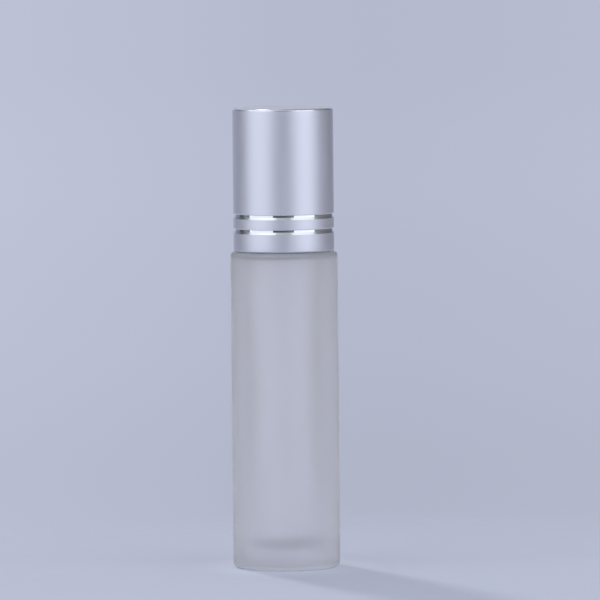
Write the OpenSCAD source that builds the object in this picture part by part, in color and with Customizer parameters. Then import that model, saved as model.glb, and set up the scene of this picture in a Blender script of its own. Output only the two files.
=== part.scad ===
// Roll-on bottle. A thick glass bottle holds a press-in roller housing with a steel ball, and a
// metal-shelled screw cap closes over it with a threaded plastic liner and a loose seal pad.
// Millimetres. The bottle stands on z = 0 with its axis on Z.

/* [Glass body] */
// Outer diameter of the glass body
body_d = 20; // [19.4:0.1:24]
// Height of the straight outer wall, from the base up to the shoulder
body_h = 58.4; // [40:0.1:90]
// Thickness of the side wall
wall = 3.4; // [2:0.1:4]
// Extra thickness of the side wall low down, above the floor
heel_extra = 1.1; // [0:0.1:1.4]
// Height over which the side wall thickens
taper_h = 16; // [6:0.5:25]
// Thickness of the glass floor
floor_t = 3.6; // [3:0.1:8]
// Radius of the inside corner between wall and floor
floor_r = 3; // [1:0.1:4.5]
// Radius of the outside edge between wall and base
heel_r = 1; // [0.6:0.1:2.4]
// Radius of the outside edge between wall and shoulder
shoulder_r = 0.85; // [0.6:0.05:2.2]
// Depth of the top of the cavity below the shoulder
shoulder_wall = 0.6; // [0.5:0.05:3.4]
// Radius of the cavity's top corner
cavity_edge_r = 0.5; // [0.2:0.1:1]
// Depth of the hollow under the base
punt_h = 0.7; // [0.2:0.1:1.4]
// Width of the flat ring that the bottle stands on
foot_w = 1.8; // [1:0.1:3]

/* [Glass neck] */
// Height of the neck above the shoulder
neck_h = 11.35; // [10.5:0.05:15]
// Radius where the neck grows out of the shoulder
neck_root_r = 0.6; // [0.2:0.1:0.9]
// Radius of the rim's edges
rim_r = 0.35; // [0.15:0.05:0.5]
// How much narrower the bore is below the roller's plug, on each side
throat_step = 0.8; // [0.2:0.1:1.2]

/* [Screw thread] */
// Rise of the thread in one turn
thread_lead = 3; // [2.6:0.1:3.4]
// Height of the ridge above the neck, and of the liner's ridge above its wall
thread_depth = 0.75; // [0.5:0.05:0.85]
// Number of turns of each ridge
thread_turns = 1.5; // [1:0.25:1.5]
// Height of the ridge's lower end above the shoulder
thread_start = 3.85; // [3.3:0.05:3.9]
// Radial clearance between a ridge and the wall that it faces
thread_clear = 0.15; // [0.1:0.05:0.25]
// Clearance between the flanks that bear on each other
flank_clear = 0.12; // [0.08:0.02:0.2]

/* [Roller] */
// Diameter of the steel ball
ball_d = 9.525; // [8.5:0.005:9.8]
// Gap between the ball and the cup that holds it
ball_clear = 0.1; // [0.05:0.01:0.12]
// Wall thickness of the cup and the plug
cup_wall = 0.64; // [0.5:0.02:0.8]
// Height of the ball's centre above the glass rim
ball_rise = 0.3; // [0:0.05:0.6]
// Height of the retaining lip above the ball's centre
lip_h = 1.7; // [1.5:0.05:2]
// Thickness of the flange that sits on the glass rim
flange_t = 0.9; // [0.6:0.05:1.1]
// Length of the plug inside the neck
plug_h = 6; // [5.5:0.1:7]
// Bite of each sealing bead into the glass
bead_bite = 0.05; // [0.02:0.01:0.08]

/* [Cap] */
// Outer diameter of the metal shell
cap_d = 18.85; // [18:0.05:19.2]
// Height of the metal shell
cap_h = 26.7; // [24:0.1:34]
// Wall thickness of the metal shell
shell_wall = 0.4; // [0.4:0.05:0.6]
// Radius of the shell's top edge
shell_edge_r = 0.35; // [0.2:0.05:0.8]
// Radius of the shell's outer lower edge
shell_rim_r = 0.3; // [0.1:0.05:0.3]
// Vertical gap between the shell's rim and the shoulder
cap_gap = 0.15; // [0.1:0.05:0.6]
// Width of each bright-cut groove
groove_w = 0.95; // [0.5:0.05:1.4]
// Depth of each bright-cut groove
groove_h = 0.14; // [0.06:0.02:0.2]
// Height of the lower groove above the shell's rim
groove_low = 3.85; // [2:0.05:6]
// Distance between the two grooves
groove_gap = 2.75; // [1.8:0.05:5]

/* [Cap liner and seal] */
// Wall thickness of the liner
liner_wall = 1; // [0.8:0.05:1.1]
// Height of the grip ribs that fill the gap between liner and shell
rib_h = 0.275; // [0.15:0.025:0.4]
// Width of each grip rib
rib_w = 0.6; // [0.3:0.05:1]
// Number of grip ribs
rib_count = 24; // [12:1:30]
// Distance from the shell's rim up to the liner's lower edge
liner_inset = 0.9; // [0.8:0.05:1.2]
// Thickness of the liner's crown
crown_t = 1.2; // [0.8:0.1:2]
// Diameter of the seal pad
pad_d = 9.2; // [8:0.1:10]
// Thickness of the seal pad
pad_t = 1.5; // [1:0.1:2.5]
// Gap between the closed seal pad and the ball
pad_gap = 0.1; // [0.05:0.05:0.3]

/* [Hidden] */
$fn = 96;

// Straight pieces that each quarter of a round stretch is drawn with
arc_steps = 12;
// Turn between two sections of a thread ridge, and the turn over which its ends fade out
ridge_step = 12;
ridge_fade = 48;
// How deep a ridge is rooted in the wall that carries it
ridge_sink = 0.2;
// Width of each ridge at its root and its crest, in shares of the lead
neck_ridge_root_share = 0.6;
neck_ridge_crest_share = 0.26;
liner_ridge_root_share = 0.5;
liner_ridge_crest_share = 0.22;
// How far round the liner's ridge starts after the neck's
liner_ridge_lag = 60;

body_r = body_d / 2;
cavity_r = body_r - wall;
heel_cavity_r = cavity_r - heel_extra;
shoulder_z = body_h + shoulder_r;
rim_z = shoulder_z + neck_h;

// The cap's layers, from the shell inwards, set the neck that they close on
cap_r = cap_d / 2;
shell_in_r = cap_r - shell_wall;
liner_r = shell_in_r - rib_h;
liner_in_r = liner_r - liner_wall;
neck_crest_r = liner_in_r - thread_clear;
neck_r = neck_crest_r - thread_depth;
liner_crest_r = neck_r + thread_clear;

// The roller's layers, from the ball outwards, set the bore that they plug
ball_r = ball_d / 2;
cup_r = ball_r + ball_clear;
bore_r = cup_r + cup_wall;
ball_z = rim_z + ball_rise;
ball_top_z = ball_z + ball_r;
// Play of the plug in the bore between its beads
plug_clear = 0.05;
plug_r = bore_r - plug_clear;
plug_z = rim_z - plug_h;
// The bore's narrow part, how far below the plug it starts, and the height of the slope to it
throat_r = bore_r - throat_step;
throat_drop = 0.2;
throat_slope_h = 1.2;
throat_z = plug_z - throat_drop - throat_slope_h;
// Angle below the ball's equator where the cup's bowl opens for the liquid
bowl_angle = 52;
// Width and spacing of the sealing beads, and the depth of the first below the rim
bead_w = 0.7;
bead_step = 1.5;
bead_top = 1.3;
bead_count = 3;
// Taper at the plug's lower end
plug_lead_in = 0.35;
plug_lead_h = 0.8;
// How far the flange stays inside the neck's outer face, and its softened edge
flange_inset = 0.25;
flange_edge = 0.3;
// Width of the lip's flat top, and the collar's slope below it
lip_w = 0.55;
collar_slope = 0.35;
collar_drop = 0.7;

// Cap levels
cap_z = shoulder_height(shell_in_r) + cap_gap;
cap_top_z = cap_z + cap_h;
shell_in_top_z = cap_top_z - shell_wall;
liner_z = cap_z + liner_inset;
pad_r = pad_d / 2;
pad_z = ball_top_z + pad_gap;
crown_z = pad_z + pad_t;
// Play round the pad, and the wall, lip and overhang of the ring that holds it
pad_clear = 0.1;
ring_wall = 0.9;
ring_lip_w = 0.3;
ring_lip_h = 0.4;
ring_lip_play = 0.06;
pad_edge = 0.15;
// Softened inside corner and mouth of the liner, and its two stiffening webs
liner_corner = 0.5;
liner_mouth = 0.35;
web_t = 0.9;
// Inner corner of the shell's top, and the break on its rim's inner edge
shell_corner = 0.15;
shell_break = 0.08;

// Distance along the axis between the neck's ridge and the liner's ridge that bears on it
ridge_offset = flank_clear + max(ridge_halves(liner_crest_r), ridge_halves(neck_crest_r));
neck_ridge_z = shoulder_z + thread_start;

// Height of the shoulder's outer surface at radius r
function shoulder_height(r) =
    let (in = min(max(r - body_r + shoulder_r, 0), shoulder_r))
    body_h + sqrt(pow(shoulder_r, 2) - pow(in, 2));

// Half the axial width of a ridge at radius r
function ridge_half(r, root_r, crest_r, root_share, crest_share) =
    let (up = (r - root_r) / (crest_r - root_r))
    thread_lead / 2 * (root_share + up * (crest_share - root_share));

// Half widths of the two ridges, added, at radius r
function ridge_halves(r) =
    ridge_half(r, neck_r, neck_crest_r, neck_ridge_root_share, neck_ridge_crest_share)
    + ridge_half(r, liner_in_r, liner_crest_r, liner_ridge_root_share, liner_ridge_crest_share);

// Points of a round stretch about a centre, from one angle to another
function arc(centre, r, from, to, steps = arc_steps) =
    [for (i = [0:steps]) let (a = from + (to - from) * i / steps) centre + r * [cos(a), sin(a)]];

// Points of a concave groove in a vertical wall of radius r, centred on z, from its top down
function groove(r, z, w, h) =
    let (cut_r = (pow(w / 2, 2) + pow(h, 2)) / (2 * h), half = asin(w / 2 / cut_r))
    arc([r - h + cut_r, z], cut_r, 180 - half, 180 + half);

// Points of the hollow under the base, from its middle out to radius r
function punt(r) =
    [for (i = [0:arc_steps]) let (u = i / arc_steps) [r * u, punt_h * (1 + cos(180 * u)) / 2]];

// Points of a sealing bead on the plug, centred on z, from its top down
function bead(z) = [
    [plug_r, z + bead_w / 2],
    [bore_r + bead_bite, z + bead_w / 4],
    [bore_r + bead_bite, z - bead_w / 4],
    [plug_r, z - bead_w / 2],
];

// A helical ridge that climbs anticlockwise seen from above. It is rooted in the wall at root_r
// and fades into it at both ends.
module ridge(root_r, crest_r, root_w, crest_w, first_angle, first_z) {
    side = sign(crest_r - root_r);
    sunk_r = root_r - side * ridge_sink;
    low_r = root_r - side * ridge_sink / 2;
    count = round(360 * thread_turns / ridge_step);
    rings = [
        for (i = [0:count])
            let (
                turned = i * ridge_step,
                a = first_angle + turned,
                z = first_z + thread_lead * turned / 360,
                up = min(1, turned / ridge_fade, (count * ridge_step - turned) / ridge_fade),
                r = low_r + up * (crest_r - low_r)
            )
            [
                [sunk_r * cos(a), sunk_r * sin(a), z - root_w / 2],
                [r * cos(a), r * sin(a), z - crest_w / 2],
                [r * cos(a), r * sin(a), z + crest_w / 2],
                [sunk_r * cos(a), sunk_r * sin(a), z + root_w / 2],
            ]
    ];
    corners = len(rings[0]);
    walls = [
        for (i = [0:count - 1], j = [0:corners - 1])
            let (here = i * corners, next = here + corners, k = (j + 1) % corners)
            each [[here + j, next + j, here + k], [here + k, next + j, next + k]]
    ];
    last = count * corners;
    ends = [[0, 1, 2], [0, 2, 3], [last + 2, last + 1, last], [last + 3, last + 2, last]];
    faces = concat(walls, ends);
    points = [for (ring = rings) each ring];
    polyhedron(points, side < 0 ? faces : [for (f = faces) [f[2], f[1], f[0]]]);
}

module bottle() {
    foot_r = body_r - heel_r;
    // The root's rounding meets the shoulder's where both have the same slope
    root_in = max(0, neck_r + neck_root_r - body_r + shoulder_r);
    root_turn = acos(root_in / (shoulder_r + neck_root_r));
    root_z = body_h + (shoulder_r + neck_root_r) * sin(root_turn);
    cavity_top_z = shoulder_z - shoulder_wall;
    outline = concat(
        punt(foot_r - foot_w),
        arc([foot_r, heel_r], heel_r, -90, 0),
        arc([body_r - shoulder_r, body_h], shoulder_r, 0, root_turn),
        arc([neck_r + neck_root_r, root_z], neck_root_r, 180 + root_turn, 180),
        arc([neck_r - rim_r, rim_z - rim_r], rim_r, 0, 90),
        arc([bore_r + rim_r, rim_z - rim_r], rim_r, 90, 180),
        [[bore_r, throat_z + throat_slope_h], [throat_r, throat_z], [throat_r, cavity_top_z]],
        arc([cavity_r - cavity_edge_r, cavity_top_z - cavity_edge_r], cavity_edge_r, 90, 0),
        [[cavity_r, floor_t + floor_r + taper_h]],
        arc([heel_cavity_r - floor_r, floor_t + floor_r], floor_r, 0, -90),
        [[0, floor_t]]
    );
    color("gainsboro", 0.6) {
        rotate_extrude() polygon(outline);
        ridge(
            neck_r,
            neck_crest_r,
            neck_ridge_root_share * thread_lead,
            neck_ridge_crest_share * thread_lead,
            0,
            neck_ridge_z
        );
    }
}

module roller_housing() {
    flange_r = neck_r - flange_inset;
    flange_z = rim_z + flange_t;
    lip_z = ball_z + lip_h;
    lip_angle = asin(lip_h / cup_r);
    lip_r = cup_r * cos(lip_angle);
    skirt_r = plug_r - cup_wall;
    bowl_r = cup_r + cup_wall;
    collar_r = lip_r + lip_w + collar_slope;
    outline = concat(
        arc([0, ball_z], cup_r, -bowl_angle, lip_angle, 2 * arc_steps),
        [
            [lip_r + lip_w, lip_z],
            [collar_r, lip_z - collar_drop],
            [collar_r, flange_z],
            [flange_r - flange_edge, flange_z],
            [flange_r, flange_z - flange_edge],
            [flange_r, rim_z],
            [plug_r, rim_z],
        ],
        [for (i = [0:bead_count - 1]) each bead(rim_z - bead_top - i * bead_step)],
        [
            [plug_r, plug_z + plug_lead_h],
            [plug_r - plug_lead_in, plug_z],
            [skirt_r - plug_lead_in, plug_z],
            [skirt_r, plug_z + plug_lead_h],
        ],
        arc([0, ball_z], bowl_r, -acos(skirt_r / bowl_r), -bowl_angle)
    );
    color("white") rotate_extrude() polygon(outline);
}

module roller_ball() {
    color("silver") translate([0, 0, ball_z]) sphere(r = ball_r);
}

module seal_pad() {
    outline = [
        [0, pad_z],
        [pad_r - pad_edge, pad_z],
        [pad_r, pad_z + pad_edge],
        [pad_r, crown_z - pad_edge],
        [pad_r - pad_edge, crown_z],
        [0, crown_z],
    ];
    color("whitesmoke") rotate_extrude() polygon(outline);
}

module cap_liner() {
    ring_r = pad_r + pad_clear;
    ring_lip_z = pad_z - ring_lip_play;
    ring_z = ring_lip_z - ring_lip_h;
    outline = concat(
        [
            [0, crown_z],
            [ring_r, crown_z],
            [ring_r, ring_lip_z],
            [ring_r - ring_lip_w, ring_lip_z - ring_lip_h / 2],
            [ring_r, ring_z],
            [ring_r + ring_wall, ring_z],
            [ring_r + ring_wall, crown_z],
        ],
        arc([liner_in_r - liner_corner, crown_z - liner_corner], liner_corner, 90, 0),
        [
            [liner_in_r, liner_z + liner_mouth],
            [liner_in_r + liner_mouth, liner_z],
            [liner_r, liner_z],
            [liner_r, shell_in_top_z],
            [liner_in_r, shell_in_top_z],
            [liner_in_r, crown_z + crown_t],
            [0, crown_z + crown_t],
        ]
    );
    web_h = shell_in_top_z - crown_z;
    color("ivory") {
        rotate_extrude() polygon(outline);
        ridge(
            liner_in_r,
            liner_crest_r,
            liner_ridge_root_share * thread_lead,
            liner_ridge_crest_share * thread_lead,
            liner_ridge_lag,
            neck_ridge_z + thread_lead * liner_ridge_lag / 360 - ridge_offset
        );
        intersection() {
            translate([0, 0, crown_z]) cylinder(r = liner_in_r + liner_wall / 2, h = web_h);
            for (a = [0, 90])
                rotate(a) translate([-liner_r, -web_t / 2, crown_z]) cube([2 * liner_r, web_t, web_h]);
        }
        grip_ribs();
    }
}

module grip_ribs() {
    intersection() {
        translate([0, 0, liner_z]) cylinder(r = shell_in_r, h = shell_in_top_z - liner_z);
        for (i = [0:rib_count - 1])
            rotate(360 * i / rib_count)
                translate([liner_r - rib_h, -rib_w / 2, liner_z + rib_w])
                    cube([3 * rib_h, rib_w, shell_in_top_z - liner_z - 2 * rib_w]);
    }
}

module cap_shell() {
    low_groove_z = cap_z + groove_low;
    outline = concat(
        [[0, cap_top_z]],
        arc([cap_r - shell_edge_r, cap_top_z - shell_edge_r], shell_edge_r, 90, 0),
        groove(cap_r, low_groove_z + groove_gap, groove_w, groove_h),
        groove(cap_r, low_groove_z, groove_w, groove_h),
        arc([cap_r - shell_rim_r, cap_z + shell_rim_r], shell_rim_r, 0, -90),
        [
            [shell_in_r + shell_break, cap_z],
            [shell_in_r, cap_z + shell_break],
            [shell_in_r, shell_in_top_z - shell_corner],
            [shell_in_r - shell_corner, shell_in_top_z],
            [0, shell_in_top_z],
        ]
    );
    color("lightsteelblue") rotate_extrude() polygon(outline);
}

bottle();
roller_housing();
roller_ball();
seal_pad();
cap_liner();
cap_shell();
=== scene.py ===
"""Roll-on bottle: the visual model, its studio and its camera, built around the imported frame.

Sizes are in millimetres in the classes and in metres in Blender. Z is the bottle's axis, and the
bottle stands on z = 0.
"""

import logging
import math
from abc import ABC, abstractmethod
from dataclasses import dataclass, field, replace
from enum import Enum, IntEnum
from typing import Callable, ClassVar, Optional, Sequence

import bmesh
import bpy
import numpy as np
from mathutils import Matrix, Vector


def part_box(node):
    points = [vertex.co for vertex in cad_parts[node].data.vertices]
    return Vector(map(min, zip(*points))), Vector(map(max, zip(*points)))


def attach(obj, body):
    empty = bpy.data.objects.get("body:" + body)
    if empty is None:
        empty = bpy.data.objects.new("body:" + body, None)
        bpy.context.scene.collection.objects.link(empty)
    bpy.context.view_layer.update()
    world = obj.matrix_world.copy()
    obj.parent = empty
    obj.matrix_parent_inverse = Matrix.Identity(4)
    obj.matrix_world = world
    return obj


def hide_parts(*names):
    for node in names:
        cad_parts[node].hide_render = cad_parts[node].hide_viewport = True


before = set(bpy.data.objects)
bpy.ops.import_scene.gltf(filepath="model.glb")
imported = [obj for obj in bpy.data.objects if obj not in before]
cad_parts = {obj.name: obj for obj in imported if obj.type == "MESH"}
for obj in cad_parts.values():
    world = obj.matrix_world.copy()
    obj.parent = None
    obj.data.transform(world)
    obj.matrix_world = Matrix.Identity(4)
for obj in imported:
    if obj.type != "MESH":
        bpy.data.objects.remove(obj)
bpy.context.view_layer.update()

LOG = logging.getLogger("roll_on_bottle")
MM = 0.001
# The usual range of a noise, over which colours and roughness go from low to high
NOISE_LOW, NOISE_HIGH = 0.3, 0.7
GLASS_IOR = PLASTIC_IOR = 1.5
# Numbers of the colour sockets of Blender's Mix node
MIX_LOW, MIX_HIGH, MIX_RESULT = 6, 7, 2
# Slack for points on a wall, and the distance under which two points are one, in millimetres
TOUCH, SAME = 1e-6, 1e-4

Point = tuple[float, float]
Corner = tuple[float, float, float]
Colour = tuple[float, float, float]
Levels = Sequence[tuple[float, float]]
Socket = bpy.types.NodeSocket
# Gives the changed radius of points from their radius, height and angle in radians
Relief = Callable[[np.ndarray, np.ndarray, np.ndarray], np.ndarray]


class Slot(Enum):
    """The record's material slots."""

    GLASS = "frosted_glass"
    HOUSING = "housing_plastic"
    BALL = "ball_steel"
    PAD = "pad_foam"
    LINER = "liner_plastic"
    SHELL = "shell_aluminium"


class Body(Enum):
    """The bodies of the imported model."""

    BOTTLE = "bottle"
    BALL = "ball"
    SEAL = "seal"
    CAP = "cap"


# ---- Profiles ----


# Half the angle at a corner, in radians, above which its line counts as straight
STRAIGHT = math.radians(89)


def arc(centre: Point, radius: float, start: float, end: float, steps: int) -> list[Point]:
    """Lays out a round stretch of a profile.

    Args:
        centre: Radius and height of the arc's centre.
        radius: The arc's radius.
        start: First angle in degrees, from the outward direction towards +Z.
        end: Last angle in degrees.
        steps: Straight pieces in the arc.

    Returns:
        The points, with both ends.
    """
    turns = [math.radians(start + (end - start) * i / steps) for i in range(steps + 1)]
    return [(centre[0] + radius * math.cos(t), centre[1] + radius * math.sin(t)) for t in turns]


def rounded(corners: Sequence[Corner], steps: int = 5) -> list[Point]:
    """Lays out a line through corners, with each inner corner rounded.

    Args:
        corners: Radius, height and rounding radius of each corner. The ends aren't rounded.
        steps: Straight pieces in each rounding.

    Returns:
        The points of the line.
    """
    points: list[Point] = [corners[0][:2]]
    for before, here, after in zip(corners, corners[1:], corners[2:]):
        middle = np.array(here[:2])
        back, ahead = np.array(before[:2]) - middle, np.array(after[:2]) - middle
        back_length, ahead_length = np.linalg.norm(back), np.linalg.norm(ahead)
        back, ahead = back / back_length, ahead / ahead_length
        half = math.acos(max(-1.0, min(1.0, float(back @ ahead)))) / 2
        if here[2] <= 0 or half > STRAIGHT:
            points.append(here[:2])
            continue
        reach = min(here[2] / math.tan(half), back_length / 2, ahead_length / 2)
        radius = reach * math.tan(half)
        centre = middle + (back + ahead) / np.linalg.norm(back + ahead) * radius / math.sin(half)
        first, last = middle + back * reach - centre, middle + ahead * reach - centre
        sweep = math.pi - 2 * half
        for i in range(steps + 1):
            share = i / steps
            point = (
                math.sin((1 - share) * sweep) * first + math.sin(share * sweep) * last
            ) / math.sin(sweep)
            points.append(tuple(float(v) for v in centre + point))
    points.append(corners[-1][:2])
    return points


def spaced(points: Sequence[Point], step: float) -> list[Point]:
    """Adds points to a line so that none lie further apart than a step.

    Args:
        points: The line's points.
        step: The furthest distance between neighbours.

    Returns:
        The denser line.
    """
    dense: list[Point] = [points[0]]
    for (r0, z0), (r1, z1) in zip(points, points[1:]):
        count = max(1, math.ceil(math.hypot(r1 - r0, z1 - z0) / step))
        dense += [
            (r0 + (r1 - r0) * i / count, z0 + (z1 - z0) * i / count) for i in range(1, count + 1)
        ]
    return dense


def smooth(share: np.ndarray) -> np.ndarray:
    """Eases a share in and out between 0 and 1."""
    held = np.clip(share, 0.0, 1.0)
    return held * held * (3 - 2 * held)


@dataclass(frozen=True)
class ThreadRidge:
    """A moulded screw ridge, as a change of radius over a wall.

    Attributes:
        wall_r: Radius of the wall that carries the ridge.
        depth: Height of the ridge, below zero where it grows inwards.
        root_w: Width at the wall.
        crest_w: Width at the crest.
        first_z: Height of the middle of its first end.
        first_angle: Angle of its first end in degrees, anticlockwise.
        lead: Rise in one turn.
        turns: Number of turns.
        fade: Turn in degrees over which each end grows to its full height.
    """

    wall_r: float
    depth: float
    root_w: float
    crest_w: float
    first_z: float
    first_angle: float = 0.0
    lead: float = 3.0
    turns: float = 1.5
    fade: float = 48.0

    def relief(self, radius: np.ndarray, height: np.ndarray, angle: np.ndarray) -> np.ndarray:
        """Gives the wall's radius with the ridge on it.

        Args:
            radius: Radius of each point of the plain skin.
            height: Height of each point.
            angle: Angle of each point in radians.

        Returns:
            The changed radius of each point.
        """
        on_wall = np.abs(radius - self.wall_r) < TOUCH
        whole = 360.0 * self.turns
        raised = np.zeros_like(radius)
        for lap in range(math.ceil(self.turns) + 1):
            turned = np.degrees(angle) - self.first_angle + 360.0 * lap
            up = np.clip(np.minimum(turned, whole - turned) / self.fade, 0.0, 1.0)
            off = np.abs(height - self.first_z - self.lead * turned / 360.0)
            flank = (self.root_w / 2 - off) / (self.root_w / 2 - self.crest_w / 2)
            raised = np.maximum(raised, smooth(flank) * smooth(up))
        return np.where(on_wall, radius + self.depth * raised, radius)


@dataclass
class Turning:
    """A closed profile that is turned about Z into one skin of quads.

    Attributes:
        name: Name of the piece.
        columns: Angles of the skin's columns in radians.
        rows: Radius, height and finish number of each row, in order round the profile.
    """

    name: str
    columns: np.ndarray
    rows: list[tuple[float, float, int]] = field(default_factory=list)

    def run(self, points: Sequence[Point], finish: int = 0, step: float = 0.0) -> None:
        """Adds a stretch of the profile.

        Args:
            points: Radius and height of its points. A first point on the last one is left out.
            finish: Number of the finish on the stretch, up to the next stretch's first point.
            step: The furthest distance between rows, or 0 to keep the points as they are.
        """
        for radius, height in spaced(points, step) if step else points:
            if self.rows and math.dist(self.rows[-1][:2], (radius, height)) < SAME:
                self.rows[-1] = (*self.rows[-1][:2], finish)
                continue
            self.rows.append((max(0.0, radius), height, finish))

    def build(
        self, finishes: Sequence["Finish"], relief: Optional[Relief] = None, crease: float = 40.0
    ) -> bpy.types.Object:
        """Makes the Blender object.

        Args:
            finishes: The finishes that the stretches are numbered by.
            relief: Changes the radius by radius, height and angle, all in millimetres or radians.
            crease: Angle in degrees above which an edge stays sharp.

        Returns:
            The object, at the origin, with its place in its mesh.
        """
        rows = self._anticlockwise()
        count, columns = len(rows), len(self.columns)
        radius = np.repeat(np.array([r for r, _, _ in rows])[:, None], columns, 1)
        height = np.repeat(np.array([z for _, z, _ in rows])[:, None], columns, 1)
        angle = np.repeat(self.columns[None, :], count, 0)
        if relief is not None:
            radius = np.where(radius > 0, relief(radius, height, angle), radius)
        grid = np.stack([radius * np.cos(angle), radius * np.sin(angle), height], 2) * MM
        on_axis = [row[0] <= 0 for row in rows]
        first, vertices = [], []
        for i in range(count):
            first.append(len(vertices))
            vertices.extend(map(tuple, grid[i, :1] if on_axis[i] else grid[i]))
        ring = not (on_axis[0] and on_axis[-1])
        faces, numbers = [], []
        for i in range(count if ring else count - 1):
            j = (i + 1) % count
            for k in range(columns):
                n = (k + 1) % columns
                here, there = first[i], first[j]
                if on_axis[i]:
                    faces.append((here, there + n, there + k))
                elif on_axis[j]:
                    faces.append((here + k, here + n, there))
                else:
                    faces.append((here + k, here + n, there + n, there + k))
                numbers.append(rows[i][2])
        return finished(self.name, vertices, faces, numbers, finishes, crease)

    def _anticlockwise(self) -> list[tuple[float, float, int]]:
        """Gives the rows with the solid on their left, so that faces point out."""
        rows = self.rows
        pairs = zip(rows, rows[1:] + rows[:1])
        if sum(r0 * z1 - r1 * z0 for (r0, z0, _), (r1, z1, _) in pairs) > 0:
            return rows
        return [(*here[:2], before[2]) for here, before in zip(rows, rows[-1:] + rows)][::-1]


def even_columns(count: int) -> np.ndarray:
    """Gives evenly spaced column angles in radians."""
    return np.arange(count) * (2 * math.pi / count)


def linked(name: str, data: bpy.types.ID) -> bpy.types.Object:
    """Makes an object of a mesh, a lamp or a camera, and puts it into the scene."""
    made = bpy.data.objects.new(name, data)
    bpy.context.scene.collection.objects.link(made)
    return made


def finished(
    name: str,
    vertices: Sequence[Sequence[float]],
    faces: Sequence[Sequence[int]],
    numbers: Sequence[int],
    finishes: Sequence["Finish"],
    crease: float,
) -> bpy.types.Object:
    """Makes an object of a mesh, shades it smooth and gives each face its finish.

    Args:
        name: Name of the object and its mesh.
        vertices: Corners in metres.
        faces: Corner numbers of each face.
        numbers: Finish number of each face.
        finishes: The finishes that the faces are numbered by.
        crease: Angle in degrees above which an edge stays sharp.

    Returns:
        The object, in the scene.
    """
    mesh = bpy.data.meshes.new(name)
    mesh.from_pydata(vertices, [], faces)
    for finish in finishes:
        mesh.materials.append(finish.material())
    mesh.polygons.foreach_set("material_index", np.array(numbers, dtype=np.int32))
    mesh.polygons.foreach_set("use_smooth", np.ones(len(faces), dtype=bool))
    mesh.set_sharp_from_angle(angle=math.radians(crease))
    mesh.update()
    return linked(name, mesh)


# ---- Finishes ----


@dataclass(frozen=True)
class Grain:
    """A noise over a surface.

    Attributes:
        size: Rough size of its blots in millimetres.
        detail: Octaves of finer noise.
        stretch: How many times longer the blots are along Z.
        rough: How strong the finer octaves are.
    """

    size: float
    detail: float = 3.0
    stretch: float = 1.0
    rough: float = 0.55


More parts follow.
